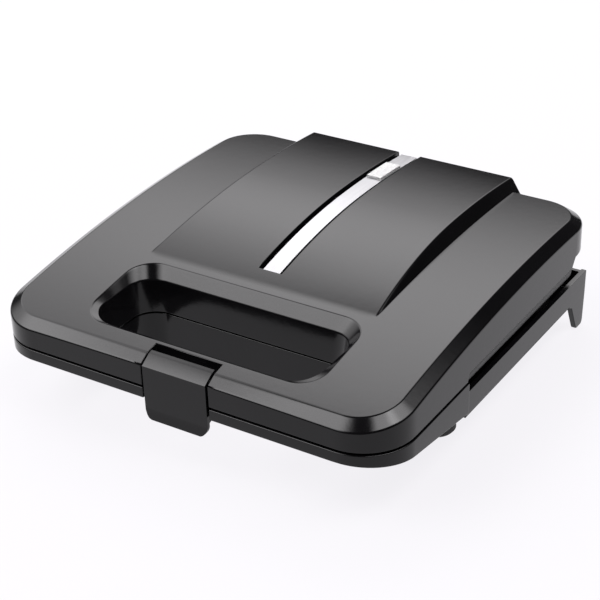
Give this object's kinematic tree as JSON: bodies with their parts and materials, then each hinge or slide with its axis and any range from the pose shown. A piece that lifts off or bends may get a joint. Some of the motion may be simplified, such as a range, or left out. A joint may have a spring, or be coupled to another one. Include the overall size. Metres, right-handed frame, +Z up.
{
  "type": "donut maker",
  "caption": "Clamshell donut maker: hinged crowned lid with a raised centre panel, ring-cavity plates, through handle, front latch, side rails and rear legs.",
  "frame": {"origin": "middle of the footprint on the surface it stands on (width by depth, latch included)", "axes": "+X to the right seen from the front, +Y to the back where the hinge is, +Z up"},
  "size_m": [0.24, 0.2414, 0.0784],
  "materials": {
    "gloss_black": "glossy black moulded plastic",
    "satin_black": "satin black heat-resistant moulding",
    "rubber": "black rubber",
    "non_stick": "die-cast aluminium with a dark non-stick coat",
    "element_sheath": "steel heater sheath, slightly heat-tinted",
    "sheet_steel": "plain sheet steel",
    "screw_steel": "zinc-plated screws",
    "reflector": "bright aluminised sheet",
    "braid": "glass-fibre braid sleeving",
    "block_plastic": "off-white nylon",
    "gland_plastic": "black nylon",
    "pin_steel": "turned steel pin",
    "brushed_strip": "bright brushed strip, grain along its length",
    "lens": "frosted light grey lens",
    "neon_glass": "clear glass neon lamp"
  },
  "bodies": {
    "base": {"base_shell": "gloss_black", "base_liner": "satin_black", "front_feet": "rubber", "lower_plate": "non_stick", "lower_element": "element_sheath", "lower_clamp_bars": "sheet_steel", "lower_clamp_screws": "screw_steel", "lower_reflector": "reflector", "lower_plate_screws": "screw_steel", "base_screws": "screw_steel", "thermostat": "sheet_steel", "thermal_fuse": "braid", "terminal_block": "block_plastic", "base_wiring": "braid", "cord_gland": "gland_plastic", "hinge_wire_sleeve": "braid", "hinge_pins": "pin_steel"},
    "lid": {"lid_shell": "gloss_black", "lid_liner": "satin_black", "trim_strip": "brushed_strip", "indicator_lens": "lens", "lamp_holder": "block_plastic", "neon_lamps": "neon_glass", "upper_plate": "non_stick", "upper_element": "element_sheath", "upper_clamp_bars": "sheet_steel", "upper_clamp_screws": "screw_steel", "upper_reflector": "reflector", "upper_plate_screws": "screw_steel", "lid_screws": "screw_steel", "lid_wiring": "braid", "latch_pin": "pin_steel"},
    "latch": {"latch": "gloss_black"}
  },
  "joints": [
    {"name": "lid_hinge", "type": "hinge", "parent": "base", "child": "lid", "pos_m": [0, 0.1067, 0.042], "axis": [-1, 0, 0], "range_deg": [0, 100]},
    {"name": "latch_pivot", "type": "hinge", "parent": "lid", "child": "latch", "pos_m": [0, -0.1143, 0.052], "axis": [-1, 0, 0], "range_deg": [0, 75]}
  ]
}
